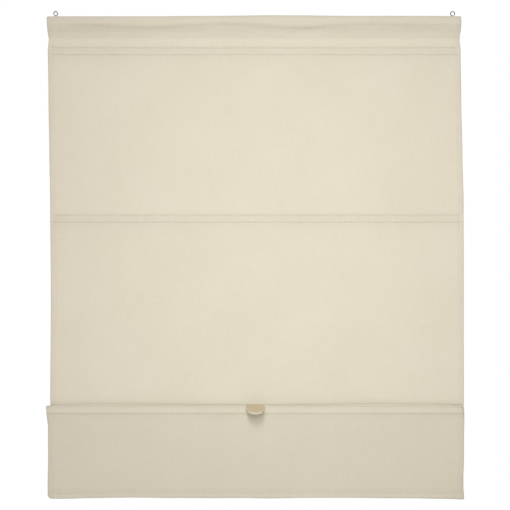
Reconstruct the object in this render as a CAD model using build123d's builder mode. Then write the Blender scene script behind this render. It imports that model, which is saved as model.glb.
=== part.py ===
from build123d import *

import os
from math import cos, hypot, radians, sin

# A cordless cotton Roman blind, hung by two screw eyes, with its lowest fold raised and caught.
# X runs across the width, -Y faces the room and +Z is up. The origin is the middle of the
# header's flat back, which lies against the wall, at the height of the rod's axis.

# Cloth
cloth_width = 1000.0
cloth_thick = 0.8
tunnel_drop = 57.0  # from the header's top edge to the seam that closes the tunnel
tunnel_bend = 6.0  # radius where the tunnel leaves the rod
seam_radius = 0.3
flap_length = 222.3  # from the crease to the bottom of the hem
hem_height = 18.0
loop_radius = 5.5  # centre line of the cloth at the bottom of the loop
soft_bend = 60.0  # radius where the riser and the flap change direction
layer_gap = 0.3  # between layers that lie flat against each other

# Rod in the header tunnel
rod_end_gap = 8.0  # from the end of the header
rod_height = 26.0
rod_thick = 12.0
rod_corner = 2.5
rod_fit = 0.2

# Batten pockets, each a tape sewn on the reverse of the cloth
first_pocket = 84.8  # from the header's top edge to the middle of pocket 1
second_step = 405.6  # from pocket 1 to pocket 2
fold_step = 459.3  # from pocket 2 to 3 and from 3 to 4, along the cloth
catch_shift = 4.15  # how far caught pocket 4 lies below pocket 3
crease_band = 6.75  # from the crease to the upper line of stitches of pocket 4
pocket_height = 17.0  # between its two lines of stitches
tape_inset = 11.0  # from the side of the cloth
tape_thick = 0.5
tape_lip = 2.0  # tape beyond each line of stitches

# Battens
batten_end_gap = 9.0  # from the end of the tape
batten_height = 9.0
batten_thick = 2.0
batten_end_radius = 4.0
batten_fit = 0.15

# Magnets let into battens 1 and 3
magnet_battens = (1, 3)
magnet_diameter = 6.0
magnet_fit = 0.1
outer_magnet_inset = 50.0  # from the end of the batten
inner_magnet_x = 150.0

# Screw eyes
eye_inset = 19.5  # from the end of the header
eye_outer = 12.5
wire = 2.3
eye_height = 6.9  # from the header's top edge to the middle of the ring
eye_gap = 28.0  # degrees left open where the ring's end meets the stem
eye_turns = {"left": 38.0, "right": 0.0}  # degrees about the shank
shank_length = 19.0  # in the rod
shank_tip = 3.0
shank_point = 0.6  # width of the blunted point
shank_fit = 0.05

# Handle, a sloping tab with a round front
handle_width = 42.6
handle_reach = 36.5  # along the slope
handle_thick = 6.2
handle_slope = 24.3  # degrees down towards the room
handle_edge = 1.1
plate_length = 36.0
plate_height = 3.8
plate_thick = 0.8
plate_corner = 0.95
plate_rise = 2.0  # from pocket 4's upper line of stitches to the middle of the plate
screw_spacing = 20.0
screw_diameter = 2.4
screw_depth = 6.0  # in the handle
screw_head = 3.6
head_thick = 1.2
hole_fit = 0.05

# Places that follow from the sizes above
side_y = rod_thick / 2 + rod_fit
side_z = rod_height / 2 + rod_fit
top_z = side_z + cloth_thick
panel_y = -(side_y + cloth_thick)
panel_back = panel_y + cloth_thick / 2
seam_z = top_z - tunnel_drop
third_z = top_z - first_pocket - second_step - fold_step
fourth_z = third_z - catch_shift
pocket_z = {1: top_z - first_pocket, 2: third_z + fold_step, 3: third_z, 4: fourth_z}
crease_z = fourth_z + pocket_height / 2 + crease_band
loop_z = (third_z + crease_z + (crease_z - fourth_z) - fold_step) / 2
plate_z = fourth_z + pocket_height / 2 + plate_rise
pocket_depth = batten_thick + 2 * batten_fit
riser_y = panel_y - cloth_thick - layer_gap
flap_y = riser_y - cloth_thick - tape_thick - pocket_depth - 2 * layer_gap
crease_radius = (riser_y - flap_y) / 2
flap_front = flap_y - cloth_thick / 2
flap_back = flap_y + cloth_thick / 2
hem_z = crease_z - flap_length
hem_y = panel_y - 2 * (loop_radius + cloth_thick + layer_gap)
rod_length = cloth_width - 2 * rod_end_gap
tape_length = cloth_width - 2 * tape_inset
batten_length = tape_length - 2 * batten_end_gap
outer_magnet_x = batten_length / 2 - outer_magnet_inset
magnet_x = {"a": -outer_magnet_x, "b": -inner_magnet_x, "c": inner_magnet_x, "d": outer_magnet_x}
eye_x = cloth_width / 2 - eye_inset
eye_places = [(-eye_x, panel_y), (eye_x, panel_y)]
screw_x = {"left": -screw_spacing / 2, "right": screw_spacing / 2}
screw_hole = screw_diameter / 2 + hole_fit

os.makedirs("parts", exist_ok=True)


def on_side(width):
    """The plane at the left end of something this wide, on which its section is drawn."""
    return Plane.YZ.offset(-width / 2)


def drill_for_screws(face_y, depth):
    """Cuts the two holes for the handle's screws through the part being built."""
    with Locations(*[(x, face_y, plate_z) for x in screw_x.values()]):
        Cylinder(screw_hole, 2 * depth, rotation=(90, 0, 0), mode=Mode.SUBTRACT)


# The cloth: a tunnel round the rod, then one sheet that goes down as the panel, turns forward
# at the loop, rises behind the flap, turns over the crease and ends in the flap's hem.
corner_radius = rod_corner + rod_fit
tunnel_corners = [
    (panel_y - side_y, side_z),
    (panel_y + side_y, side_z),
    (panel_y + side_y, -side_z),
    (panel_y, seam_z + cloth_thick),
    (panel_y - side_y, -side_z),
]
tunnel_radii = [corner_radius, corner_radius, tunnel_bend, seam_radius, tunnel_bend]
loop_turn_z = loop_z + cloth_thick / 2
crease_turn_z = crease_z - cloth_thick / 2
flap_bend_z = fourth_z - pocket_height / 2 - 2 * tape_lip
hem_turn_z = hem_z + cloth_thick / 2
sheet_corners = [
    (panel_y, seam_z + cloth_thick),
    (panel_y, loop_turn_z),
    (panel_y - 2 * loop_radius, loop_turn_z),
    (riser_y, third_z - pocket_height),
    (riser_y, crease_turn_z),
    (flap_y, crease_turn_z),
    (flap_y, flap_bend_z),
    (hem_y, hem_turn_z),
]
nearly = 0.9  # the two quarter turns of a fold leave a short flat between them
loop_turn = loop_radius * nearly
crease_turn = crease_radius * nearly
sheet_radii = [loop_turn, loop_turn, soft_bend, crease_turn, crease_turn, soft_bend]
flap_run = hypot(hem_y - flap_y, hem_turn_z - flap_bend_z)
hem_top = (hem_y + hem_height * (flap_y - hem_y) / flap_run, hem_turn_z + hem_height)

with BuildPart() as shade_cloth:
    with BuildSketch(on_side(cloth_width)) as cloth_section:
        with BuildLine() as tunnel_line:
            FilletPolyline(*tunnel_corners, radius=tunnel_radii, close=True)
        make_face()
        offset(amount=cloth_thick)
        make_face(tunnel_line.edges(), mode=Mode.SUBTRACT)
        with BuildLine() as sheet_line:
            FilletPolyline(*sheet_corners, radius=sheet_radii)
            offset(amount=cloth_thick / 2)
        make_face()
        with BuildLine() as hem_line:
            Polyline(
                (hem_y, hem_turn_z),
                (hem_y + cloth_thick, hem_turn_z),
                (hem_top[0] + cloth_thick, hem_top[1]),
                hem_top,
                close=True,
            )
        make_face()
    extrude(amount=cloth_width)
    with Locations(*[(*place, top_z) for place in eye_places]):
        Cylinder(wire / 2 + hole_fit, 3 * cloth_thick, mode=Mode.SUBTRACT)
    drill_for_screws(flap_y, cloth_thick)
shade_cloth.part.label = "shade_cloth"
export_step(shade_cloth.part, "parts/shade_cloth.step")

# The rod, with a hole down each end for a screw eye.
with BuildPart() as top_rod:
    with Locations((0, panel_y, 0)):
        Box(rod_length, rod_thick, rod_height)
    fillet(top_rod.edges().filter_by(Axis.X), rod_corner)
    with Locations(*[(*place, rod_height / 2) for place in eye_places]):
        Hole(wire / 2 + shank_fit, shank_length)
top_rod.part.label = "top_rod"
export_step(top_rod.part, "parts/top_rod.step")

# The pocket tapes. Each lies flat on the cloth at its lips and stands off it over the batten,
# which rests on the lower line of stitches. Pocket 4's upper lip also carries the handle's plate.
for number, middle_z in pocket_z.items():
    face_y = flap_back if number == 4 else panel_back
    stitch = pocket_height / 2
    low_edge = -stitch - tape_lip
    low_side = -stitch - tape_thick
    high_edge = stitch + (plate_rise + plate_height / 2 if number == 4 else tape_lip)
    batten_top = -stitch + 2 * batten_fit + batten_height
    cloth_side = [
        (0, high_edge),
        (0, stitch),
        (pocket_depth, batten_top),
        (pocket_depth, -stitch),
        (0, -stitch),
        (0, low_edge),
    ]
    wall_side = [
        (tape_thick, low_edge),
        (tape_thick, low_side),
        (pocket_depth + tape_thick, low_side),
        (pocket_depth + tape_thick, batten_top),
        (tape_thick, stitch),
        (tape_thick, high_edge),
    ]
    with BuildPart() as pocket_tape:
        with BuildSketch(on_side(tape_length)) as tape_section:
            with BuildLine() as tape_line:
                outline = [(face_y + out, middle_z + up) for out, up in cloth_side + wall_side]
                Polyline(*outline, close=True)
            make_face()
        extrude(amount=tape_length)
        if number == 4:
            drill_for_screws(face_y, 2 * tape_thick)
    pocket_tape.part.label = f"pocket_tape_{number}"
    export_step(pocket_tape.part, f"parts/pocket_tape_{number}.step")

# The battens, flat strips with rounded ends. Two of them have a row of magnets let in.
for number, middle_z in pocket_z.items():
    face_y = flap_back if number == 4 else panel_back
    batten_plane = Plane.XZ.offset(-face_y - batten_fit - batten_thick / 2)
    batten_z = middle_z - pocket_height / 2 + batten_fit + batten_height / 2
    magnets = magnet_x if number in magnet_battens else {}
    with BuildPart() as batten:
        with BuildSketch(batten_plane) as strip:
            with Locations((0, batten_z)):
                RectangleRounded(batten_length, batten_height, batten_end_radius)
            if magnets:
                with Locations(*[(x, batten_z) for x in magnets.values()]):
                    Circle(magnet_diameter / 2 + magnet_fit, mode=Mode.SUBTRACT)
        extrude(amount=batten_thick / 2, both=True)
    batten.part.label = f"batten_{number}"
    export_step(batten.part, f"parts/batten_{number}.step")
    for letter, x in magnets.items():
        with BuildPart() as magnet:
            with BuildSketch(batten_plane) as disc:
                with Locations((x, batten_z)):
                    Circle(magnet_diameter / 2)
            extrude(amount=batten_thick / 2, both=True)
        magnet.part.label = f"magnet_{number}_{letter}"
        export_step(magnet.part, f"parts/magnet_{number}_{letter}.step")

# The screw eyes, each a bent wire ring on a pointed shank. The ring's end stops short of the stem.
ring_radius = (eye_outer - wire) / 2
ring_z = top_z + eye_height
ring_foot_z = ring_z - ring_radius
tip_top_z = rod_height / 2 - shank_length + shank_tip
for (side, degrees_turned), place in zip(eye_turns.items(), eye_places):
    turn = radians(degrees_turned)
    across = (cos(turn), sin(turn), 0)
    through = (-sin(turn), cos(turn), 0)
    with BuildPart() as screw_eye:
        with BuildSketch(Plane((*place, ring_foot_z), x_dir=through, z_dir=across)) as ring_wire:
            Circle(wire / 2)
        revolve(axis=Axis((*place, ring_z), through), revolution_arc=360 - eye_gap)
        with Locations((*place, ring_foot_z)):
            Sphere(wire / 2)
        with BuildSketch(Plane((*place, tip_top_z))) as shank_wire:
            Circle(wire / 2)
        extrude(amount=ring_foot_z - tip_top_z)
        with Locations((*place, tip_top_z - shank_tip / 2)):
            Cone(shank_point / 2, wire / 2, shank_tip)
    screw_eye.part.label = f"screw_eye_{side}"
    export_step(screw_eye.part, f"parts/screw_eye_{side}.step")

# The handle: a round-fronted tab that slopes down into the room, cut off upright at the flap.
slope = radians(handle_slope)
back_height = handle_thick / cos(slope)
back_middle = (0, flap_front, crease_z - back_height / 2)
with BuildPart() as handle:
    with BuildSketch(Plane(back_middle, x_dir=(1, 0, 0), z_dir=(0, -sin(slope), cos(slope)))) as tab:
        with Locations((0, -handle_reach / 2 + handle_width / 4)):
            SlotOverall(handle_reach + handle_width / 2, handle_width, rotation=90)
    extrude(amount=handle_thick / 2, both=True)
    fillet(handle.edges(), handle_edge)
    split(bisect_by=Plane(back_middle, z_dir=(0, -1, 0)), keep=Keep.TOP)
    drill_for_screws(flap_front, screw_depth)
handle.part.label = "handle"
export_step(handle.part, "parts/handle.step")

# The plate behind the tape's upper lip, and the two screws through it into the handle.
plate_front = flap_back + tape_thick
head_front = plate_front + plate_thick
with BuildPart() as handle_plate:
    with BuildSketch(Plane.XZ.offset(-plate_front)) as plate_outline:
        with Locations((0, plate_z)):
            RectangleRounded(plate_length, plate_height, plate_corner)
        with Locations(*[(x, plate_z) for x in screw_x.values()]):
            Circle(screw_hole, mode=Mode.SUBTRACT)
    extrude(amount=-plate_thick)
handle_plate.part.label = "handle_plate"
export_step(handle_plate.part, "parts/handle_plate.step")

for side, x in screw_x.items():
    with BuildPart() as handle_screw:
        with BuildSketch(Plane.XZ.offset(-head_front)) as head_outline:
            with Locations((x, plate_z)):
                Circle(screw_head / 2)
        extrude(amount=-head_thick)
        with BuildSketch(Plane.XZ.offset(-head_front)) as shank_outline:
            with Locations((x, plate_z)):
                Circle(screw_diameter / 2)
        extrude(amount=head_front - flap_front + screw_depth - hole_fit)
    handle_screw.part.label = f"handle_screw_{side}"
    export_step(handle_screw.part, f"parts/handle_screw_{side}.step")
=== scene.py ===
import math
import bmesh
import bpy
import numpy as np
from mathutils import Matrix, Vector


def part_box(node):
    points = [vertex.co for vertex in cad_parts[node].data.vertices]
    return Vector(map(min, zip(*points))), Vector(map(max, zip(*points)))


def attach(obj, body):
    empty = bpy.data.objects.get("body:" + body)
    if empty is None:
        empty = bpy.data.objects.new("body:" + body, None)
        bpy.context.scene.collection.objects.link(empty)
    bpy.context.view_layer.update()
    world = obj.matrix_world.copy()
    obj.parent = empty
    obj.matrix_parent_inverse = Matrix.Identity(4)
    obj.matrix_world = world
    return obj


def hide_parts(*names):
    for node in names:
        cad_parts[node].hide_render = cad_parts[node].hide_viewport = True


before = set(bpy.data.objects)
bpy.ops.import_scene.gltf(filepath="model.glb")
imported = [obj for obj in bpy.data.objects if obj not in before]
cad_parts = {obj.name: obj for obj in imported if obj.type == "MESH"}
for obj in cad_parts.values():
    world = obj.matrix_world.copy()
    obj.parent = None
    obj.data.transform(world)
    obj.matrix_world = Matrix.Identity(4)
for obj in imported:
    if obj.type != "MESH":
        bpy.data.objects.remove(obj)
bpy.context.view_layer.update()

mm = 0.001


def hexColour(code):  # an sRGB hex value as the linear colour that the nodes want
    parts = [int(code[i:i + 2], 16) / 255 for i in (1, 3, 5)]
    return (*[p / 12.92 if p <= 0.04045 else ((p + 0.055) / 1.055) ** 2.4 for p in parts], 1.0)


def setStops(elements, stops):  # the colours of a ramp, given as (place, hex)
    while len(elements) < len(stops):
        elements.new(0.5)
    for element, (place, code) in zip(elements, stops):
        element.position, element.color = place, hexColour(code)


def addNode(tree, kind, settings=None, **inputs):
    # settings are the node's own properties; inputs are values or sockets, by name with _ for a
    # space, or by number as at0, at1
    node = tree.nodes.new(kind)
    for key, value in (settings or {}).items():
        if key == "stops":
            setStops(node.color_ramp.elements, value)
        else:
            setattr(node, key, value)
    for key, value in inputs.items():
        if key.startswith("at"):
            socket = node.inputs[int(key[2:])]
        else:
            socket = node.inputs[key.replace("_", " ")]
        if isinstance(value, bpy.types.NodeSocket):
            tree.links.new(value, socket)
        else:
            socket.default_value = value
    return node


def newMaterial(name, **surface):
    # a Principled surface with fixed values; what varies is linked in by the caller
    material = bpy.data.materials.new(name)
    material.use_nodes = True
    tree = material.node_tree
    shader = tree.nodes["Principled BSDF"]
    for key, value in surface.items():
        shader.inputs[key.replace("_", " ")].default_value = value
    return material, tree, shader


def gridMesh(name, points, material, thick, uv, layers=None):
    # points is rows x columns x 3, and the sheet gets two faces and a rim
    rows, columns = points.shape[:2]
    index = np.arange(rows * columns).reshape(rows, columns)
    quads = np.stack([index[:-1, :-1], index[:-1, 1:], index[1:, 1:], index[1:, :-1]], -1)
    quads = quads.reshape(-1, 4)
    along = np.gradient(points, axis=0)
    across = np.gradient(points, axis=1)
    normal = np.cross(across, along)
    normal /= np.maximum(np.linalg.norm(normal, axis=2, keepdims=True), 1e-12)
    count = rows * columns
    front = points + normal * thick / 2
    back = points - normal * thick / 2
    vertices = np.concatenate([front.reshape(-1, 3), back.reshape(-1, 3)])
    edge = np.concatenate([index[0, :], index[1:, -1], index[-1, -2::-1], index[-2:0:-1, 0]])
    after = np.roll(edge, -1)
    rim = np.stack([edge, after, after + count, edge + count], -1)
    faces = np.concatenate([quads[:, ::-1], quads + count, rim])
    mesh = bpy.data.meshes.new(name)
    mesh.from_pydata(vertices.tolist(), [], faces.tolist())
    mesh.polygons.foreach_set("use_smooth", [True] * len(faces))
    corners = np.zeros(len(mesh.loops), int)
    mesh.loops.foreach_get("vertex_index", corners)
    flat = mesh.uv_layers.new(name="clothUV")
    flat.data.foreach_set("uv", uv.reshape(-1, 2)[corners % count].ravel())
    # painted shade: the count goes on the points, where the cloth's colour reads it
    if layers is not None:
        attribute = mesh.attributes.new("layers", "FLOAT", "POINT")
        attribute.data.foreach_set("value", np.tile(layers.ravel(), 2).astype(np.float32))
    mesh.materials.append(material)
    piece = bpy.data.objects.new(name, mesh)
    bpy.context.collection.objects.link(piece)
    return piece


def eased(place, places, values):  # from one value to the next without a corner
    places, values = np.array(places, float), np.array(values, float)
    i = np.clip(np.searchsorted(places, place) - 1, 0, len(places) - 2)
    t = np.clip((place - places[i]) / (places[i + 1] - places[i]), 0, 1)
    return values[i] + (values[i + 1] - values[i]) * t * t * (3 - 2 * t)


def hump(x, middle, width):  # a smooth rise of 1 at the middle
    return np.exp(-((x - middle) / width) ** 2)


def ripple(a, b, seed, waves):
    # slow uneven waves over a surface, from -1 to 1; waves are (length along a, length along b)
    dice = np.random.RandomState(seed)
    total = 0
    for lengthA, lengthB in waves:
        phase, turn = dice.uniform(0, 2 * math.pi, 2)
        bend = 0.9 * np.sin(4.1 * a / lengthA + turn)
        total = total + np.sin(2 * math.pi * (a / lengthA + b / lengthB) + phase + bend)
    return total / len(waves)


# Where things are comes from the CAD parts in model.glb.
rodLow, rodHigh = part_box("top_rod")
clothLow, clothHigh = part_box("shade_cloth")
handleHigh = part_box("handle")[1]
tapes = {n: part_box(f"pocket_tape_{n}") for n in (1, 2, 3, 4)}
battens = {n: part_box(f"batten_{n}") for n in (1, 2, 3, 4)}
halfWidth = clothHigh.x
tapeEnd = tapes[1][1].x
panelY = (rodLow.y + rodHigh.y) / 2
backY = clothHigh.y
creaseZ = handleHigh.z
loopZ = clothLow.z + 2 * mm  # the soft loop ends a little above the plain solid's

cloth = {
    "thick": 0.7 * mm,
    "solidThick": 0.8 * mm,  # of the plain solid that the cloth stands in for
    "tunnelDrop": 57 * mm,  # from the top edge down to the header's seam
    "seamFlat": 5 * mm,  # where both layers of the header lie flat together
    "seamStitch": 2.6 * mm,  # above the header's turned-in edge
    "tapeLip": 2 * mm,  # tape beyond its stitches
    "loopRadius": 5.5 * mm,
    "flapLength": 222.3 * mm,
    "hemHeight": 20 * mm,
    "hemRadius": 0.39 * mm,
    "hemStitches": (8.2 * mm, 17.8 * mm),  # above the flap's lower edge
    "sideHem": 13 * mm,
    "hemOverRod": 7 * mm,
    "sideStitch": 11.5 * mm,
    "layerGap": 0.3 * mm,
    "cornerRadius": 3.1 * mm,  # of the cloth round the rod's corners
    "arcStep": math.radians(11),  # turn of each short piece of an arc
}
stitchLow = {n: box[0].z + cloth["tapeLip"] for n, box in tapes.items()}
pocketHeight = tapes[1][1].z - tapes[1][0].z - 2 * cloth["tapeLip"]
stitchHigh = {n: z + pocketHeight for n, z in stitchLow.items()}
half = cloth["solidThick"] / 2
topZ = clothHigh.z - half
seamZ = clothHigh.z - cloth["tunnelDrop"]
riserY = panelY - cloth["solidThick"] - cloth["layerGap"]
flapY = tapes[4][0].y - half
hemY = clothLow.y + half
hemZ = creaseZ - cloth["flapLength"]
rodFront = 2 * panelY - (backY - half)


# The cloth runs from the turned-in edge of the header to the turned-up hem of the flap.
def roundedRun(corners):
    # straight runs joined by arcs: corners are (y, z, radius, name of the run that starts there)
    points, names = [], []
    for i, (y, z, radius, name) in enumerate(corners):
        here = np.array((y, z))
        if i in (0, len(corners) - 1) or radius == 0:
            points.append(here)
            names.append(name)
            continue
        before = np.array(corners[i - 1][:2]) - here
        after = np.array(corners[i + 1][:2]) - here
        a, b = before / np.linalg.norm(before), after / np.linalg.norm(after)
        angle = math.acos(np.clip(a @ b, -1, 1))
        reach = radius / math.tan(angle / 2)
        start, end = here + a * reach, here + b * reach
        middle = here + (a + b) / np.linalg.norm(a + b) * radius / math.sin(angle / 2)
        spoke = start - middle
        side = 1 if np.cross(spoke, end - middle) > 0 else -1
        turns = max(3, round((math.pi - angle) / cloth["arcStep"]))
        for k in range(turns + 1):
            t = k / turns
            swing = (math.pi - angle) * t
            cosine, sine = math.cos(swing), math.sin(swing) * side
            turned = (cosine * spoke[0] - sine * spoke[1], sine * spoke[0] + cosine * spoke[1])
            points.append(middle + np.array(turned))
            names.append(name if t > 0.5 else corners[i - 1][3])
    return np.array(points), names


turn = cloth["cornerRadius"]
justUnder = 0.999  # keeps an arc a little shorter than the straight run that it joins
foldRadius = (riserY - flapY) / 2 * justUnder
loopTurn = cloth["loopRadius"] * justUnder
hemBack = hemY + cloth["solidThick"]
run, runNames = roundedRun([
    (panelY + cloth["solidThick"], seamZ, 0, "turnIn"),
    (panelY + cloth["solidThick"], seamZ + cloth["seamFlat"], 8 * mm, "back"),
    (backY - half, rodLow.z, 6 * mm, "back"),
    (backY - half, topZ, turn, "top"),
    (rodFront, topZ, turn, "front"),
    (rodFront, rodLow.z - 0.5 * mm, 6 * mm, "front"),
    (panelY - 2.3 * mm, rodLow.z - 12 * mm, 16 * mm, "front"),
    (panelY, seamZ + cloth["seamFlat"], 14 * mm, "panel"),
    (panelY, loopZ + half, loopTurn, "loop"),
    (panelY - 2 * cloth["loopRadius"], loopZ + half, loopTurn, "riser"),
    (riserY, tapes[3][0].z - 10 * mm, 60 * mm, "riser"),
    (riserY, creaseZ - half, foldRadius, "crease"),
    (flapY, creaseZ - half, foldRadius, "flap"),
    (flapY, stitchLow[4] - 4 * mm, 60 * mm, "flap"),
    (hemY, hemZ + half, cloth["hemRadius"], "hemFold"),
    (hemBack, hemZ + half, cloth["hemRadius"], "hemTurn"),
    (hemBack + 0.7 * mm, hemZ + cloth["hemHeight"], 0, "hemTurn"),
])
runLength = np.concatenate([[0], np.cumsum(np.linalg.norm(np.diff(run, axis=0), axis=1))])


def runAt(leg, z):  # how far along the run a height on one leg lies
    chosen = [i for i, name in enumerate(runNames) if name == leg]
    first, last = chosen[0], min(chosen[-1] + 1, len(run) - 1)
    heights, lengths = run[first:last + 1, 1], runLength[first:last + 1]
    order = np.argsort(heights)
    return float(np.interp(z, heights[order], lengths[order]))


topStart, topEnd = runAt("back", topZ - turn), runAt("front", topZ - turn)
panelStart = runAt("panel", seamZ + cloth["seamFlat"])
loopStart = runAt("panel", loopZ + 8 * mm)
creaseStart, flapStart = runAt("riser", creaseZ - 3 * mm), runAt("flap", creaseZ - 3 * mm)
creaseTop = (creaseStart + flapStart) / 2
seamBack = runAt("back", seamZ + 18 * mm)  # where the header's two layers have parted
hemEnd = runAt("flap", hemZ + 2 * mm)
hemMiddle = hemEnd + 2.2 * mm
print("cloth run", round(float(runLength[-1]), 4), "m of", round(2 * halfWidth, 3), "m wide")

# How far each side stands out past the straight cut, in mm, going down the cloth: the header is
# pinched under the rod, and the panel has drifted to the right by the time it reaches pocket 2.
sides = [  # stretch of the run, height, how far out on the left and on the right
    ("back", -43, 3.0, -2.6), ("back", 0, 0.0, 0.0), ("front", 10, -1.0, -0.1),
    ("front", -8, 0.0, 0.0), ("front", -22, 0.3, -0.4), ("front", -29, 1.4, -2.0),
    ("panel", -42, 3.1, -3.5), ("panel", -50, 2.4, -2.0), ("panel", -59, 1.6, -0.9),
    ("panel", -68, 0.8, -0.3), ("panel", -190, 2.4, 1.4), ("panel", -310, 4.4, 3.9),
    ("panel", -450, 6.5, 6.9), ("panel", -675, 7.8, 7.5), ("panel", -920, 6.3, 7.9),
    ("panel", -945, 6.4, 8.8), ("panel", -1140, 8.5, 5.0), ("riser", -1130, 8.0, 4.6),
    ("riser", -968, 5.0, 5.2), ("riser", -940, -1.4, 5.4), ("flap", -930, -3.1, 3.2),
    ("flap", -946, -1.8, 5.4), ("flap", -962, 0.2, 8.0), ("flap", -975, 2.4, 7.4),
    ("flap", -990, 2.2, 6.9), ("flap", -1060, 3.1, 6.0), ("flap", -1112, 2.5, 3.3),
    ("flap", -1140, 3.1, 5.2), ("hemTurn", -1140, 3.1, 5.2), ("hemTurn", -1128, 2.6, 3.8),
]
sidePlaces = [runAt(leg, z * mm) for leg, z, left, right in sides]
leftSides = [left * mm for leg, z, left, right in sides]
rightSides = [right * mm for leg, z, left, right in sides]

# The lower edge of the bulge over the rod wanders up and down, in mm across and below the top.
rodBand = [
    (-500, 23), (-407, 22.4), (-239, 26), (-70, 19.5), (111, 27), (267, 20), (412, 22.4), (500, 22),
]
bandAcross = [x * mm for x, depth in rodBand]
bandDepth = [depth * mm for x, depth in rodBand]

# So does the crease, in mm across and up.
creaseLine = [
    (-500, -3), (-470, -0.6), (-360, 1.2), (-180, -0.7), (0, -1.3), (130, -1), (300, 1.6),
    (440, 0.2), (500, -2.4),
]
creaseAcross = [x * mm for x, rise in creaseLine]
creaseRise = [rise * mm for x, rise in creaseLine]

# And the header's top edge and the lower edge, the same way.
topLine = [
    (-500, -0.25), (-360, -0.25), (-230, -0.1), (-130, 0.7), (-84, 0.9), (40, 2.3), (110, 2),
    (230, 0.8), (400, 0.9), (500, 0.2),
]
hemLine = [
    (-500, 4.5), (-494, -1.2), (-450, -1.8), (-400, -0.6), (-340, 0.9), (-200, 0.8), (-35, -0.1),
    (110, 0.3), (256, 0.7), (353, -1), (402, -0.3), (460, -0.2), (500, -1.4),
]
topAcross, topRise = [x * mm for x, rise in topLine], [rise * mm for x, rise in topLine]
hemAcross, hemRise = [x * mm for x, rise in hemLine], [rise * mm for x, rise in hemLine]

folds = {
    "rodBulge": 2.6 * mm,
    "grooveWidth": 1.2 * mm,  # of the dip along each line of stitches
    "pocketStep": 1.2 * mm,  # that each pocket stands out past the cloth below it
    "pocketRise": 60 * mm,  # over which the cloth above a pocket comes forward to it
    "pocketFall": 11 * mm,  # and over which it goes back below
    "pocketDip": 0.5 * mm,
    "pocketBulge": 0.4 * mm,
    "battenDip": 0.25 * mm,
    "tuckWave": 0.5 * mm,  # of the loose cloth under the rod
    "dragLines": 0.8 * mm,
    "dragDepth": 42 * mm,  # below the top edge
    "dragAcross": 0.478,
    "crowded": 2.0 * mm,  # that the panel gives way behind the top of the flap
    "flapBulge": 1.6 * mm,
    "flapStep": 0.9 * mm,  # that the flap stands out under its upper stitches
    "panelWave": 2.0 * mm,
    "hemWave": 3.4 * mm,
    "hemCurl": 1.7 * mm,  # of the lower edge, towards the room
    "edgeCurl": 0.9 * mm,  # of the side hems, towards the wall
    "sideGroove": 0.25 * mm,
}


def between(s, start, end, soft):  # 1 inside a stretch of the run, with soft ends
    return np.clip((s - start) / soft + 0.5, 0, 1) * np.clip((end - s) / soft + 0.5, 0, 1)


grooves = {  # how deep each line of stitches pulls the cloth in
    "header": 0.3 * mm,
    "pocketTop": 0.9 * mm,
    "pocketFoot": 1.1 * mm,
    "hem": (0.5 * mm, 0.12 * mm),
}
stitchRuns = [(runAt("panel", seamZ + cloth["seamStitch"]), grooves["header"])]
for n in (1, 2, 3, 4):
    leg = "flap" if n == 4 else "panel"
    stitchRuns.append((runAt(leg, stitchHigh[n]), grooves["pocketTop"]))
    stitchRuns.append((runAt(leg, stitchLow[n]), grooves["pocketFoot"]))
for up, deep in zip(cloth["hemStitches"], grooves["hem"]):
    stitchRuns.append((runAt("flap", hemZ + up), deep))


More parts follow.
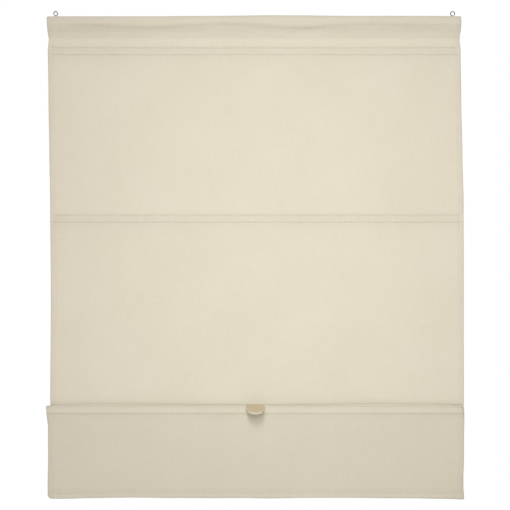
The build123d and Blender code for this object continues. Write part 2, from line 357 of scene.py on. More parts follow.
def pushOut(u, s, z):  # how far the cloth stands out on its face side
    depth = topZ - z
    header = between(s, topEnd - 2 * mm, panelStart, 4 * mm)
    edge = eased(u, bandAcross, bandDepth)
    rolling = 1 + 0.3 * ripple(u, s, 3, [(0.31, 3), (0.17, 2)])
    over = np.clip((edge + 4.5 * mm - depth) / (9 * mm), 0, 1)
    over = over * np.clip((depth - 1 * mm) / (7 * mm), 0, 1)
    push = folds["rodBulge"] * rolling * header * over * over * (3 - 2 * over)
    loose = ripple(u, depth, 4, [(0.09, 0.11), (0.05, 0.2)]) * hump(depth, 38 * mm, 10 * mm)
    push += folds["tuckWave"] * header * loose
    for side, lean in ((-1, 0.9), (1, -0.7)):  # drag lines under the rod's two ends
        across = (u - side * 0.47) * 0.7 + (depth - folds["dragDepth"]) * lean
        near = hump(u, side * folds["dragAcross"], 18 * mm) * hump(depth, folds["dragDepth"], 9 * mm)
        push += folds["dragLines"] * header * near * np.sin(across / (3.1 * mm))
    for place, deep in stitchRuns:
        push -= deep * hump(s, place, folds["grooveWidth"])
    onPanel = between(s, panelStart, loopStart, 4 * mm)
    for n in (1, 2):
        above, below = np.maximum(z - stitchHigh[n], 0), np.maximum(stitchLow[n] - z, 0)
        step = np.exp(-above / folds["pocketRise"]) * np.exp(-below / folds["pocketFall"])
        push += folds["pocketStep"] * onPanel * step
        push -= folds["pocketDip"] * onPanel * hump(z, stitchHigh[n] + 4 * mm, 5 * mm)
        middle = (battens[n][0].z + battens[n][1].z) / 2
        push += folds["pocketBulge"] * onPanel * hump(z, middle, 4.5 * mm)
        push -= folds["battenDip"] * onPanel * hump(z, battens[n][1].z, 1 * mm)
    push -= folds["crowded"] * onPanel * hump(z, creaseZ - 1 * mm, 13 * mm)
    batten = (battens[4][0].z + battens[4][1].z) / 2
    onFlap = between(s, flapStart, hemEnd, 4 * mm)
    push += folds["flapBulge"] * onFlap * hump(z, batten, 5.5 * mm)
    push += folds["flapStep"] * onFlap * np.clip((stitchHigh[4] - z) / (18 * mm), 0, 1)
    fallen = np.clip((stitchLow[4] - z) / (stitchLow[4] - hemZ), 0, 1)
    waves = 0.5 + 0.5 * ripple(u, z, 8, [(0.62, 2.1), (0.37, -1.2), (0.21, 0.9)])
    push += folds["hemWave"] * between(s, flapStart, runLength[-1], 4 * mm) * fallen ** 1.4 * waves
    toHem = np.exp(-np.maximum(hemMiddle - s, 0) / (4 * mm))
    toHem = toHem * np.clip(1 - (s - hemMiddle) / (1.2 * mm), 0, 1)
    push += folds["hemCurl"] * toHem
    hemLayer = between(s, hemEnd + 3 * mm, runLength[-1] + 1, 1 * mm)
    return np.where(hemLayer > 0.5, -folds["hemWave"] * fallen ** 1.4 * waves, push)


def clothPlace(u, s, off=0.0):  # a point of the cloth; off is how far behind its face side
    tiny = 0.05 * mm
    hemmed = np.clip((np.abs(u) - (halfWidth - cloth["sideHem"] - 2 * mm)) / (1.5 * mm), 0, 1)
    off = off - 2 * cloth["solidThick"] * hemmed * np.clip((seamBack - s) / (6 * mm), 0, 1)
    y, z = np.interp(s, runLength, run[:, 0]), np.interp(s, runLength, run[:, 1])
    alongY = np.interp(s + tiny, runLength, run[:, 0]) - np.interp(s - tiny, runLength, run[:, 0])
    alongZ = np.interp(s + tiny, runLength, run[:, 1]) - np.interp(s - tiny, runLength, run[:, 1])
    size = np.maximum(np.hypot(alongY, alongZ), 1e-9)
    out = pushOut(u, s, z) - off
    left, right = eased(s, sidePlaces, leftSides), eased(s, sidePlaces, rightSides)
    x = u + left + (u / (2 * halfWidth) + 0.5) * (right - left)
    inset = halfWidth - np.abs(u)
    out = out - folds["edgeCurl"] * np.exp(-inset / (2.2 * mm))
    out = out - folds["sideGroove"] * hump(inset, cloth["sideStitch"], folds["grooveWidth"])
    still = 1.0
    for n in (1, 2, 3):
        still = still * (1 - hump(z, (stitchLow[n] + stitchHigh[n]) / 2, 45 * mm))
    still = still * np.clip((seamZ - z) / (60 * mm), 0, 1)
    wave = folds["panelWave"] * still * ripple(u, z, 5, [(0.9, 1.7), (0.47, -0.8), (1.6, 0.5)])
    y = y + alongZ / size * out + wave
    z = z - alongY / size * out
    header = np.clip((z - seamZ) / (topZ - seamZ), 0, 1)
    z = z + header * eased(u, topAcross, topRise)
    nearCrease = between(s, creaseStart - 12 * mm, flapStart + 2 * mm, 6 * mm)
    z = z + nearCrease * eased(u, creaseAcross, creaseRise)
    low = np.clip((tapes[3][0].z - z) / (tapes[3][0].z - loopZ), 0, 1)
    z = z + low ** 2 * eased(u, hemAcross, hemRise)
    return np.stack([x, y, z], -1)


columnsBetween = 96  # over the plain width between the side hems
longestRow, shortestRow = 13 * mm, 0.18 * mm


def clothColumns():  # across the cloth: place, and how far behind the face, with both side hems
    fold = cloth["solidThick"] / 2
    hem = [(inset, 2 * fold) for inset in (cloth["sideHem"], 8 * mm, 3 * mm, fold * 1.5)]
    for degrees in (30, 65, 100, 140):
        angle = math.radians(degrees)
        hem.append((fold - fold * math.sin(angle), fold + fold * math.cos(angle)))
    near = [0.5, 1.6, 4, 8, 10, 11, 11.5, 12, 13, 14.5, 18, 24, 32]
    hem += [(inset * mm, 0.0) for inset in near]
    left = [(-halfWidth + inset, off) for inset, off in hem]
    inner = halfWidth - near[-1] * mm
    middle = [(x, 0.0) for x in np.linspace(-inner, inner, columnsBetween)[1:-1]]
    return left + middle + [(-x, off) for x, off in reversed(left)]


def clothRows():  # along the run: close together at stitches and folds, wide apart between
    fine = {0.0, float(runLength[-1])} | {float(length) for length in runLength}
    for place, deep in stitchRuns:
        fine |= {place + step * mm for step in (-4, -2.2, -1.2, -0.6, 0, 0.6, 1.2, 2.2, 4)}
    for n in (1, 2, 4):
        leg = "flap" if n == 4 else "panel"
        fine |= {runAt(leg, battens[n][0].z + step * mm) for step in (-1, 1, 3, 5, 7, 9, 10.5)}
    fine |= {float(place) for place in np.arange(topEnd, panelStart, 3 * mm)}
    for middle in [runAt("panel", stitchLow[n] + pocketHeight / 2) for n in (1, 2)]:
        fine |= {middle + step * mm for step in (-34, -26, -19, -14, 14, 19, 26, 34)}
    kept = [0.0]
    for place in sorted(fine):
        if shortestRow < place - kept[-1] and place <= runLength[-1]:
            gap = place - kept[-1]
            parts = max(1, math.ceil(gap / longestRow))
            kept += [kept[-1] + gap * (k + 1) / parts for k in range(parts)]
    return np.array(kept)


paintedShadeParts = {  # painted shade that each place adds to the cloth's colour, where 1 darkens it as much as one more layer of cloth
    "sideHem": 0.6,
    "sideEdgeShade": 0.8,
    "header": 1.3,
    "tuckShade": 1.6,
    "pocket": 1.0,
    "shadeAbovePocket": 1.1,
    "shadeBelowPocket": 0.9,
    "flap": 2.1,
    "flapFootShade": 0.9,  # painted shade, more at the flap's foot, where it hangs clear of the panel
    "shadeBelowFlapSeam": 0.9,
    # painted shade along the top of the fold
    "crease": 4.2,
    "hem": 0.6,
    "hemHighlight": -2.0,  # painted highlight: the rounded lower edge catches the light
}


def paintedShadeAt(u, s, z):
    # painted shade, counted in layers of cloth, less one: each layer more stands for light that no
    # longer shines through the cloth from behind; the shade of folds, creases and seams and a painted
    # highlight on the hem's rounded edge go into the same count
    inset = halfWidth - np.abs(u)
    # the doubled side hems get the painted shade of a layer more, and the last 1.6 mm of each side more
    # painted shade
    count = paintedShadeParts["sideHem"] * between(inset, -1, cloth["sideHem"], 0.6 * mm)
    count += paintedShadeParts["sideEdgeShade"] * between(inset, -1, 1.6 * mm, 1.5 * mm)
    count += paintedShadeParts["header"] * between(s, -1, panelStart + 2 * mm, 3 * mm)
    # painted shade under the rod's bulge, on the loose cloth below it
    tuckShade = hump(topZ - z, eased(u, bandAcross, bandDepth) + 1 * mm, 6.5 * mm)
    tuckShade = tuckShade * np.clip(inset / (60 * mm) - 0.4, 0, 1)
    count += paintedShadeParts["tuckShade"] * tuckShade * between(s, topEnd, panelStart, 2 * mm)
    onPanel = between(s, panelStart, loopStart, 1 * mm)
    # each taped pocket counts as a layer more, with painted shade on the slopes just above and below it
    for n in (1, 2):
        taped = between(z, stitchLow[n] - cloth["tapeLip"], stitchHigh[n] + cloth["tapeLip"], 1 * mm)
        below = np.maximum(stitchLow[n] - z, 0)
        seam = paintedShadeParts["shadeAbovePocket"] * hump(z, stitchHigh[n] + 1.5 * mm, 4 * mm)
        seam += paintedShadeParts["shadeBelowPocket"] * (below > 0) * np.exp(-below / (13 * mm))
        count += (paintedShadeParts["pocket"] * taped + seam) * onPanel * (inset > 10 * mm)
    # the flap's layers, with painted shade growing towards its foot and just under its lower seam
    onFlap = between(s, creaseTop - 2 * mm, runLength[-1] + 1, 1 * mm)
    below = np.maximum(stitchLow[4] - z, 0)
    fallen = np.clip(below / (stitchLow[4] - hemZ), 0, 1)
    count += onFlap * (paintedShadeParts["flap"] + paintedShadeParts["flapFootShade"] * fallen)
    count += onFlap * paintedShadeParts["shadeBelowFlapSeam"] * (below > 0) * np.exp(-below / (5 * mm))
    # painted shade in the crease at the top of the fold
    count += paintedShadeParts["crease"] * between(s, creaseTop - 4 * mm, creaseTop + 2.5 * mm, 1.5 * mm)
    count += paintedShadeParts["hem"] * between(z, -2, hemZ + cloth["hemHeight"], 1 * mm) * onFlap
    # painted highlight along the hem's rounded lower edge
    paintedHighlight = between(s, -1, hemMiddle + 1 * mm, 1 * mm) * np.exp(-np.abs(hemMiddle - s) / (3 * mm))
    return count + paintedShadeParts["hemHighlight"] * paintedHighlight


columns, rows = clothColumns(), clothRows()
print("cloth grid", len(rows), "x", len(columns))


# Unbleached cotton, plain woven: matt, creamy, with threads a little uneven in thickness.
# The real threads lie 0.55 mm apart, and are drawn at 1.1 mm so that they show.
# The last argument is the share of the colour kept for each counted layer of painted shade.
def wovenCotton(name, light, dark, threadGap, paintedShadePerLayer):
    material, tree, shader = newMaterial(
        name, Roughness=0.92, Sheen_Weight=0.12, Sheen_Roughness=0.6, Specular_IOR_Level=0.25)
    place = addNode(tree, "ShaderNodeUVMap", {"uv_map": "clothUV"}).outputs["UV"]
    axes = addNode(tree, "ShaderNodeSeparateXYZ", Vector=place).outputs
    threads = []
    for axis in "XY":
        turns = addNode(
            tree, "ShaderNodeMath", {"operation": "MULTIPLY"}, at0=axes[axis], at1=math.pi / threadGap)
        thread = addNode(tree, "ShaderNodeMath", {"operation": "SINE"}, at0=turns.outputs[0])
        threads.append(thread.outputs[0])
    weave = addNode(tree, "ShaderNodeMath", {"operation": "MULTIPLY"}, at0=threads[0], at1=threads[1])
    uneven = []
    for scale in ((26, 620, 1), (620, 26, 1)):  # thick and thin stretches of the weft and the warp
        drawn = addNode(tree, "ShaderNodeVectorMath", {"operation": "MULTIPLY"}, at0=place, at1=scale)
        noise = addNode(
            tree, "ShaderNodeTexNoise", Vector=drawn.outputs[0], Scale=1.0, Detail=2.0, Roughness=0.5)
        uneven.append(noise.outputs["Fac"])
    slubs = addNode(tree, "ShaderNodeMath", {"operation": "ADD"}, at0=uneven[0], at1=uneven[1])
    halved = addNode(tree, "ShaderNodeMath", {"operation": "MULTIPLY"}, at0=slubs.outputs[0], at1=0.5)
    cloudy = addNode(tree, "ShaderNodeTexNoise", Vector=place, Scale=7.0, Detail=3.0)
    tone = addNode(tree, "ShaderNodeMix", {"data_type": "FLOAT"}, Factor=0.3)
    tree.links.new(halved.outputs[0], tone.inputs[2])
    tree.links.new(cloudy.outputs["Fac"], tone.inputs[3])
    stops = [(0.3, dark), (0.7, light)]
    colour = addNode(tree, "ShaderNodeValToRGB", {"stops": stops}, Fac=tone.outputs[0]).outputs["Color"]
    # painted shade: the colour is darkened by the count on the cloth's points, for light that comes
    # through fewer layers and for the shade of folds and seams
    if paintedShadePerLayer:
        count = addNode(tree, "ShaderNodeAttribute", {"attribute_name": "layers"}).outputs["Fac"]
        less = addNode(tree, "ShaderNodeMath", {"operation": "POWER"}, at0=paintedShadePerLayer, at1=count)
        paintedShadeColour = addNode(
            tree, "ShaderNodeVectorMath", {"operation": "SCALE"}, at0=colour, Scale=less.outputs[0])
        colour = paintedShadeColour.outputs[0]
    tree.links.new(colour, shader.inputs["Base Color"])
    slubby = addNode(
        tree, "ShaderNodeBump", Strength=0.25, Distance=0.12 * mm, Height=slubs.outputs[0])
    woven = addNode(
        tree, "ShaderNodeBump", Strength=0.35, Distance=0.1 * mm, Height=weave.outputs[0],
        Normal=slubby.outputs["Normal"])
    tree.links.new(woven.outputs["Normal"], shader.inputs["Normal"])
    return material


def sewingThread():  # spun cotton thread, a shade lighter than the cloth and just as matt
    material, tree, shader = newMaterial("cottonThread", Roughness=0.85, Sheen_Weight=0.1)
    place = addNode(tree, "ShaderNodeTexCoord").outputs["Object"]
    ply = addNode(tree, "ShaderNodeTexNoise", Vector=place, Scale=900.0, Detail=2.0).outputs["Fac"]
    stops = [(0.35, "#cfc6ad"), (0.65, "#e6dfca")]
    colour = addNode(tree, "ShaderNodeValToRGB", {"stops": stops}, Fac=ply)
    tree.links.new(colour.outputs["Color"], shader.inputs["Base Color"])
    twist = addNode(tree, "ShaderNodeBump", Strength=0.4, Distance=0.1 * mm, Height=ply)
    tree.links.new(twist.outputs["Normal"], shader.inputs["Normal"])
    return material


# Planed wood: long fine grain along the width, and short darker flecks in beech.
def plainWood(name, light, dark, grainGap, fleck, paintedSideColour):
    material, tree, shader = newMaterial(name, Roughness=0.52, Specular_IOR_Level=0.4)
    place = addNode(tree, "ShaderNodeTexCoord").outputs["Object"]
    drawn = addNode(tree, "ShaderNodeVectorMath", {"operation": "MULTIPLY"}, at0=place, at1=(0.09, 1, 1))
    grain = addNode(
        tree, "ShaderNodeTexNoise", Vector=drawn.outputs[0], Scale=1 / grainGap, Detail=4.0,
        Roughness=0.6, Distortion=0.4).outputs["Fac"]
    short = addNode(tree, "ShaderNodeVectorMath", {"operation": "MULTIPLY"}, at0=place, at1=(0.28, 1, 1))
    fleckGap = 1.1 * mm
    spots = addNode(tree, "ShaderNodeTexVoronoi", Vector=short.outputs[0], Scale=1 / fleckGap)
    dashes = addNode(
        tree, "ShaderNodeMapRange", Value=spots.outputs["Distance"], From_Min=0.08, From_Max=0.3)
    stops = [(0.3, dark), (0.7, light)]
    colour = addNode(tree, "ShaderNodeValToRGB", {"stops": stops}, Fac=grain)
    flecked = addNode(tree, "ShaderNodeMix", {"data_type": "RGBA"}, Factor=dashes.outputs[0])
    flecked.inputs[6].default_value = hexColour(fleck)
    tree.links.new(colour.outputs["Color"], flecked.inputs[7])
    # painted light: the colour follows how each face is turned; steep faces get one plain colour of
    # their own, on the beech handle the lighter rim where the front light falls, on the pine rod a mid
    # tone, and the flat faces, which are planed, keep the grain
    normal = addNode(tree, "ShaderNodeNewGeometry").outputs["Normal"]
    facing = addNode(tree, "ShaderNodeSeparateXYZ", Vector=normal).outputs["Z"]
    flatness = addNode(tree, "ShaderNodeMath", {"operation": "ABSOLUTE"}, at0=facing)
    onFace = addNode(
        tree, "ShaderNodeMapRange", Value=flatness.outputs[0], From_Min=0.4, From_Max=0.8)
    paintedSideLight = addNode(tree, "ShaderNodeMix", {"data_type": "RGBA"}, Factor=onFace.outputs[0])
    paintedSideLight.inputs[6].default_value = hexColour(paintedSideColour)
    tree.links.new(flecked.outputs[2], paintedSideLight.inputs[7])
    tree.links.new(paintedSideLight.outputs[2], shader.inputs["Base Color"])
    rough = addNode(tree, "ShaderNodeMapRange", Value=grain, To_Min=0.45, To_Max=0.62)
    tree.links.new(rough.outputs[0], shader.inputs["Roughness"])
    ridges = addNode(tree, "ShaderNodeBump", Strength=0.25, Distance=0.15 * mm, Height=grain)
    tree.links.new(ridges.outputs["Normal"], shader.inputs["Normal"])
    return material


# Drawn or rolled metal with a thin plating: grey, softly shining, faintly mottled.
def platedMetal(name, light, dark, roughness, streak):
    material, tree, shader = newMaterial(name, Metallic=1.0)
    place = addNode(tree, "ShaderNodeTexCoord").outputs["Object"]
    drawn = addNode(
        tree, "ShaderNodeVectorMath", {"operation": "MULTIPLY"}, at0=place, at1=(streak, 1, 1))
    mottle = addNode(
        tree, "ShaderNodeTexNoise", Vector=drawn.outputs[0], Scale=420.0, Detail=3.0).outputs["Fac"]
    stops = [(0.3, dark), (0.7, light)]
    colour = addNode(tree, "ShaderNodeValToRGB", {"stops": stops}, Fac=mottle)
    tree.links.new(colour.outputs["Color"], shader.inputs["Base Color"])
    spread = 0.07
    rough = addNode(
        tree, "ShaderNodeMapRange", Value=mottle, To_Min=roughness - spread, To_Max=roughness + spread)
    tree.links.new(rough.outputs[0], shader.inputs["Roughness"])
    uneven = addNode(tree, "ShaderNodeBump", Strength=0.15, Distance=0.05 * mm, Height=mottle)
    tree.links.new(uneven.outputs["Normal"], shader.inputs["Normal"])
    return material


def glassFibre():  # pulled glass and resin strip: matt off-white with fine long fibres
    material, tree, shader = newMaterial("pulledGlassFibre", Roughness=0.5)
    place = addNode(tree, "ShaderNodeTexCoord").outputs["Object"]
    drawn = addNode(tree, "ShaderNodeVectorMath", {"operation": "MULTIPLY"}, at0=place, at1=(0.03, 1, 1))
    fibres = addNode(
        tree, "ShaderNodeTexNoise", Vector=drawn.outputs[0], Scale=1600.0, Detail=2.0).outputs["Fac"]
    stops = [(0.35, "#cfcab4"), (0.65, "#e2dfce")]
    colour = addNode(tree, "ShaderNodeValToRGB", {"stops": stops}, Fac=fibres)
    tree.links.new(colour.outputs["Color"], shader.inputs["Base Color"])
    ribs = addNode(tree, "ShaderNodeBump", Strength=0.2, Distance=0.05 * mm, Height=fibres)
    tree.links.new(ribs.outputs["Normal"], shader.inputs["Normal"])
    return material


finishes = {
    "canvas": wovenCotton("unbleachedCottonCanvas", "#e3dbc8", "#dad1bb", 1.1 * mm, 0.955),
    "tape": wovenCotton("cottonTape", "#e6dfcb", "#dcd4bd", 0.9 * mm, None),
    "thread": sewingThread(),
    "beech": plainWood("oiledBeech", "#c9b9a0", "#b7a78c", 1.5 * mm, "#a18f75", "#e4d8c0"),
    "pine": plainWood("planedPine", "#dcb983", "#c79a5e", 3.2 * mm, "#b8854b", "#cfa76c"),
    "zinc": platedMetal("zincPlatedWire", "#9da1a4", "#7c8084", 0.36, 1.0),
    "steel": platedMetal("rolledSteelStrip", "#b3b6b8", "#94979a", 0.38, 0.06),
    "nickel": platedMetal("nickelPlate", "#d2cec6", "#bab5ab", 0.22, 1.0),
    "fibre": glassFibre(),
}
print("finishes made")

# The cloth itself.
across, along = np.meshgrid([u for u, off in columns], rows)
behind = np.meshgrid([off for u, off in columns], rows)[0]  # how far behind the face each column is
inTunnel = between(along, topStart - 26 * mm, topEnd + 22 * mm, 4 * mm) * (behind > 0)
# the hem's back layer stays beside the rod
narrow = 1 - inTunnel * (1 - cloth["hemOverRod"] / cloth["sideHem"])
across = np.sign(across) * (halfWidth - (halfWidth - np.abs(across)) * narrow)
surface = clothPlace(across, along, behind)
unfolded = np.sign(across) * (2 * halfWidth - np.abs(across))
flatAcross = np.where(behind > cloth["solidThick"] / 2, unfolded, across)
# painted shade for the cloth's colour, counted in layers
paintedShade = paintedShadeAt(across, along, surface[..., 2])
flatPlaces = np.stack([flatAcross, along], -1)
shade = gridMesh("cottonShade", surface, finishes["canvas"], cloth["thick"], flatPlaces, paintedShade)
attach(shade, "root")
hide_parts("shade_cloth")
print("cloth", len(shade.data.polygons), "faces")

# The tapes behind the cloth, standing off it over each batten and sewn shut at the ends.
tapeSizes = {
    "thick": 0.45 * mm,
    "endRun": 9 * mm,  # over which the pocket closes
    "slack": 0.35 * mm,  # room over the batten
    "clear": 0.05 * mm,  # from the cloth, where the tape is sewn down
    "sewnEnd": 1.5 * mm,
    "columns": 90,
    "endColumns": 8,  # closer together, over the last endWidth at each end
    "endWidth": 14 * mm,
    "endReach": 2 * mm,  # how far past the batten's end the tape stays off
}
for n in (1, 2, 3, 4):
    low, high = tapes[n][0].z, tapes[n][1].z
    leg = "flap" if n == 4 else "panel"
    depth = battens[n][1].y - battens[n][0].y + tapeSizes["slack"]
    steps = [low, low + 1 * mm, stitchLow[n] - 0.5 * mm, stitchLow[n], stitchLow[n] + 0.35 * mm]
    steps += [stitchLow[n] + up * mm for up in (0.9, 2, 3.5, 5.5, 7.5, 9, 9.8, 10.8, 12.2, 13.8, 15)]
    steps += [stitchHigh[n] - 0.3 * mm, stitchHigh[n], stitchHigh[n] + 1 * mm, high]
    heights = np.array(sorted(set(steps)))
    rise = [stitchLow[n], stitchLow[n] + 0.7 * mm, battens[n][1].z + 0.2 * mm, stitchHigh[n]]
    overBatten = np.interp(heights, rise, [0, 1, 1, 0])[:, None]
    inner = tapeEnd - tapeSizes["endWidth"]
    places = np.concatenate([
        np.linspace(-tapeEnd, -inner, tapeSizes["endColumns"])[:-1],
        np.linspace(-inner, inner, tapeSizes["columns"]),
        np.linspace(inner, tapeEnd, tapeSizes["endColumns"])[1:]])
    u, z = np.meshgrid(places, heights)
    closing = np.clip((tapeEnd - tapeSizes["sewnEnd"] - np.abs(u)) / tapeSizes["endRun"], 0, 1)
    closing = closing * closing * (3 - 2 * closing)
    s = np.interp(z, [low, high], [runAt(leg, low), runAt(leg, high)])
    lift = overBatten * depth * closing
    clear = (cloth["thick"] + tapeSizes["thick"]) / 2 + tapeSizes["clear"]
    overHem = np.clip((np.abs(u) - (halfWidth - cloth["sideHem"] - 1 * mm)) / (1 * mm), 0, 1)
    hemClear = overHem * cloth["solidThick"]
    points = clothPlace(u, s, lift + clear + hemClear)
    # the cloth has come forward from the batten, so the tape is set back to where it covers it
    covered = battens[n][1].y + tapeSizes["thick"] / 2 + tapeSizes["slack"]
    short = np.maximum(covered - points[..., 1], 0)
    fromEnds = np.minimum(points[..., 0] - battens[n][0].x, battens[n][1].x - points[..., 0])
    points[..., 1] += overBatten * np.clip(1 + fromEnds / tapeSizes["endReach"], 0, 1) * short
    tape = gridMesh(
        f"pocketTape{n}", points, finishes["tape"], tapeSizes["thick"], np.stack([u, s], -1))
    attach(tape, "root")
    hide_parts(f"pocket_tape_{n}")
print("tapes made")


# Stitches: short round-ended loops of thread, sunk in the grooves along every seam.
stitchSizes = {
    "pitch": 3.4 * mm,
    "length": 2.7 * mm,
    "thread": 0.55 * mm,
    "sunk": 0.42 * mm,  # from the middle of the cloth to the thread on either side
    "overTape": 0.3 * mm,  # how far the thread stands behind a tape's middle
    "pointsAcross": 400,
    "pointGap": 2.5 * mm,  # down the side seams
}


def stitchTree():
    tree = bpy.data.node_groups.new("stitchesAlongSeams", "GeometryNodeTree")
    tree.interface.new_socket("Geometry", in_out="INPUT", socket_type="NodeSocketGeometry")
    for label in ("Pitch", "Stitch Length", "Thread"):
        tree.interface.new_socket(label, in_out="INPUT", socket_type="NodeSocketFloat")
    tree.interface.new_socket("Material", in_out="INPUT", socket_type="NodeSocketMaterial")
    tree.interface.new_socket("Geometry", in_out="OUTPUT", socket_type="NodeSocketGeometry")
    given = addNode(tree, "NodeGroupInput").outputs
    seams = addNode(tree, "GeometryNodeMeshToCurve", Mesh=given["Geometry"]).outputs["Curve"]
    points = addNode(
        tree, "GeometryNodeCurveToPoints", {"mode": "LENGTH"}, Curve=seams, Length=given["Pitch"])
    ball = addNode(tree, "GeometryNodeMeshUVSphere", Segments=6, Rings=4, Radius=0.5).outputs["Mesh"]
    size = addNode(
        tree, "ShaderNodeCombineXYZ", X=given["Thread"], Y=given["Thread"], Z=given["Stitch Length"])
    loop = addNode(tree, "GeometryNodeTransform", Geometry=ball, Scale=size.outputs[0])
    turned = addNode(
        tree, "FunctionNodeAlignRotationToVector", {"axis": "Z"}, Vector=points.outputs["Tangent"])
    placed = addNode(
        tree, "GeometryNodeInstanceOnPoints", Points=points.outputs["Points"],
        Instance=loop.outputs["Geometry"], Rotation=turned.outputs[0])
    real = addNode(tree, "GeometryNodeRealizeInstances", Geometry=placed.outputs["Instances"])
    smooth = addNode(tree, "GeometryNodeSetShadeSmooth", Geometry=real.outputs[0]).outputs[0]
    finished = addNode(tree, "GeometryNodeSetMaterial", Geometry=smooth, Material=given["Material"])
    addNode(tree, "NodeGroupOutput", Geometry=finished.outputs[0])
    return tree


def sew(name, seams):  # seams are lists of points; the result is one plain mesh
    vertices, edges = [], []
    for seam in seams:
        edges += [(len(vertices) + k, len(vertices) + k + 1) for k in range(len(seam) - 1)]
        vertices += [tuple(point) for point in seam]
    lines = bpy.data.meshes.new(name + "Lines")
    lines.from_pydata(vertices, edges, [])
    guide = bpy.data.objects.new(name + "Guide", lines)
    bpy.context.collection.objects.link(guide)
    modifier = guide.modifiers.new("stitches", "NODES")
    modifier.node_group = stitchNodes
    values = {
        "Pitch": stitchSizes["pitch"], "Stitch Length": stitchSizes["length"],
        "Thread": stitchSizes["thread"], "Material": finishes["thread"]}
    for item in stitchNodes.interface.items_tree:
        if item.in_out == "INPUT" and item.name in values:
            modifier[item.identifier] = values[item.name]
    depsgraph = bpy.context.evaluated_depsgraph_get()
    mesh = bpy.data.meshes.new_from_object(guide.evaluated_get(depsgraph))
    mesh.name = name
    bpy.data.objects.remove(guide)
    piece = bpy.data.objects.new(name, mesh)
    bpy.context.collection.objects.link(piece)
    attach(piece, "root")
    return piece


stitchNodes = stitchTree()
faceSide, wallSide = -stitchSizes["sunk"], stitchSizes["sunk"]
inside = halfWidth - cloth["sideStitch"]
width = np.linspace(-inside, inside, stitchSizes["pointsAcross"])


def seamAcross(place, off):
    return clothPlace(width, np.full_like(width, place), off)


def seamDown(u, start, end, off):
    lengths = np.arange(start, end, stitchSizes["pointGap"])
    return clothPlace(np.full_like(lengths, u), lengths, off)


headerSeam = runAt("panel", seamZ + cloth["seamStitch"])
headerStitches = sew("headerStitches", [
    seamAcross(headerSeam, faceSide), seamAcross(headerSeam, cloth["solidThick"] + wallSide)])
sideStitches = sew("sideHemStitches", [
    seamDown(sign * inside, start, end, off)
    for sign in (-1, 1) for off in (faceSide, cloth["solidThick"] + wallSide)
    for start, end in ((panelStart + 3 * mm, loopStart), (flapStart, hemEnd))])
pocketSeams = []
behindTape = (cloth["thick"] + tapeSizes["thick"]) / 2 + stitchSizes["overTape"]
for n in (1, 2, 3, 4):
    leg = "flap" if n == 4 else "panel"
    for place in (stitchLow[n], stitchHigh[n]):
        pocketSeams.append(seamAcross(runAt(leg, place), faceSide))
        pocketSeams.append(seamAcross(runAt(leg, place), behindTape))
pocketStitches = sew("pocketStitches", pocketSeams)
hemStitches = sew("hemStitches", [
    seamAcross(runAt("flap", hemZ + up), off)
    for up in cloth["hemStitches"] for off in (faceSide, cloth["solidThick"] + wallSide)])

# The hard parts keep their CAD shapes and get their finishes.
hardParts = {
    "top_rod": "pine", "screw_eye_left": "zinc", "screw_eye_right": "zinc",
    "batten_1": "fibre", "batten_2": "steel", "batten_3": "fibre", "batten_4": "steel",
}
hardParts.update({node: "nickel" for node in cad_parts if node.startswith("magnet")})
for node, finish in hardParts.items():
    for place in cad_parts[node].material_slots:
        place.material = finishes[finish]

# The handle and what holds it have drifted sideways with the flap that they are fixed to.
handleSizes = {
    "drift": 3.4 * mm,
    "sharp": math.radians(28),  # edges that turn more than this stay crisp
    "weld": 0.002 * mm,
}
fixedToFlap = {
    "handle": ("dHandle", "beech", "beech"), "handle_plate": ("handleStrip", "zinc", "zinc"),
    "handle_screw_left": ("leftHandleScrew", "zinc", "zinc"),
    "handle_screw_right": ("rightHandleScrew", "zinc", "zinc"),
}
for node, (name, finish, slot) in fixedToFlap.items():
    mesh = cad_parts[node].data.copy()
    mesh.name = name
    form = bmesh.new()
    form.from_mesh(mesh)
    bmesh.ops.remove_doubles(form, verts=form.verts, dist=handleSizes["weld"])
    bmesh.ops.translate(form, verts=form.verts, vec=(handleSizes["drift"], 0, 0))
    bmesh.ops.recalc_face_normals(form, faces=form.faces)
    for edge in form.edges:
        edge.smooth = edge.calc_face_angle(0) < handleSizes["sharp"]
    for face in form.faces:
        face.smooth = True
    form.to_mesh(mesh)
    form.free()
    mesh.materials.clear()
    mesh.materials.append(finishes[finish])
    piece = bpy.data.objects.new(name, mesh)
    bpy.context.collection.objects.link(piece)
    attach(piece, "root")
    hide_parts(node)
print("hard parts finished")

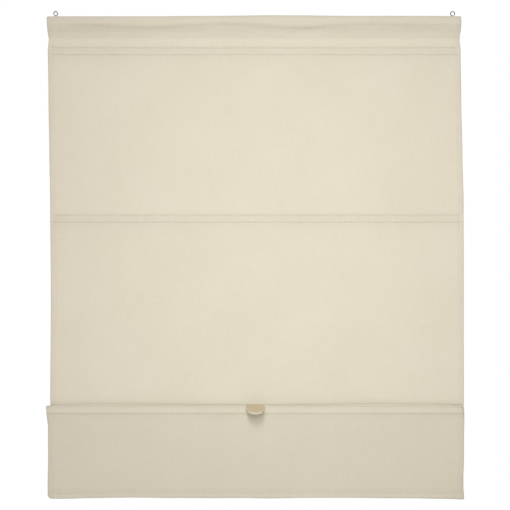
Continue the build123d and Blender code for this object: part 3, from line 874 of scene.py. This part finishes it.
# A pale floor well below, an even white surround and broad soft lights.
studio = {
    "floorDrop": 0.55,
    "floorSize": 2.6,
    "cameraPlace": (0.0021, -3.0, clothHigh.z - 0.5775),
    "lens": 87.25,
    "surround": 0.185,
    "skyPlace": (-0.3, -3.0, 3.5),  # the high soft light shines from here towards the origin
    "skyAngle": 0.42,
    "skyPower": 1.05,
}
lamps = [  # name, place, point it is aimed at, width and height, power in watts
    ("tallFront", (0.1, -1.3, -0.3), (0.1, 0.0, -0.3), (0.45, 1.4), 9.3),
    ("broadFront", (0.0, -2.0, -0.45), (0.0, 0.0, -0.45), (1.6, 1.6), 8.4),
    ("wallSide", (0.3, 2.2, 0.3), (0.0, 0.0, -0.5), (1.8, 1.8), 45.0),
]
floorMesh = bpy.data.meshes.new("floor")
reach, level = studio["floorSize"] / 2, loopZ - studio["floorDrop"]
floorMesh.from_pydata(
    [(-reach, -reach, level), (reach, -reach, level), (reach, reach, level), (-reach, reach, level)],
    [], [(0, 1, 2, 3)])
floorFinish = newMaterial("paleFloor", Roughness=0.8, Base_Color=hexColour("#ececea"))[0]
floorMesh.materials.append(floorFinish)
floor = bpy.data.objects.new("floor", floorMesh)
bpy.context.collection.objects.link(floor)

surround = bpy.data.worlds.new("whiteSurround")
surround.use_nodes = True
sky = surround.node_tree
sky.nodes.clear()
seen = addNode(sky, "ShaderNodeBackground", Color=(1, 1, 1, 1), Strength=1.0).outputs[0]
given = addNode(sky, "ShaderNodeBackground", Color=(1, 1, 1, 1), Strength=studio["surround"]).outputs[0]
which = addNode(sky, "ShaderNodeLightPath").outputs["Is Camera Ray"]
both = addNode(sky, "ShaderNodeMixShader", at0=which, at1=given, at2=seen).outputs[0]
addNode(sky, "ShaderNodeOutputWorld", Surface=both)
bpy.context.scene.world = surround
bpy.context.scene.view_settings.view_transform = "Standard"


def hangLamp(name, kind, place, aim, power):
    lamp = bpy.data.lights.new(name, kind)
    lamp.energy = power
    holder = bpy.data.objects.new(name, lamp)
    bpy.context.collection.objects.link(holder)
    holder.location = place
    holder.rotation_euler = (Vector(aim) - holder.location).to_track_quat("-Z", "Y").to_euler()
    holder.visible_camera = False
    return lamp


for name, place, aim, size, power in lamps:
    lamp = hangLamp(name, "AREA", place, aim, power)
    lamp.shape = "RECTANGLE"
    lamp.size, lamp.size_y = size
highSoft = hangLamp("highSoft", "SUN", studio["skyPlace"], (0, 0, 0), studio["skyPower"])
highSoft.angle = studio["skyAngle"]

cameraData = bpy.data.cameras.new("camera")
cameraData.lens = studio["lens"]
cameraData.sensor_width = 36  # in mm, as the lens is
cameraData.clip_end = 50
camera = bpy.data.objects.new("camera", cameraData)
bpy.context.collection.objects.link(camera)
camera.location = studio["cameraPlace"]
camera.rotation_euler = (math.pi / 2, 0, 0)
bpy.context.scene.camera = camera
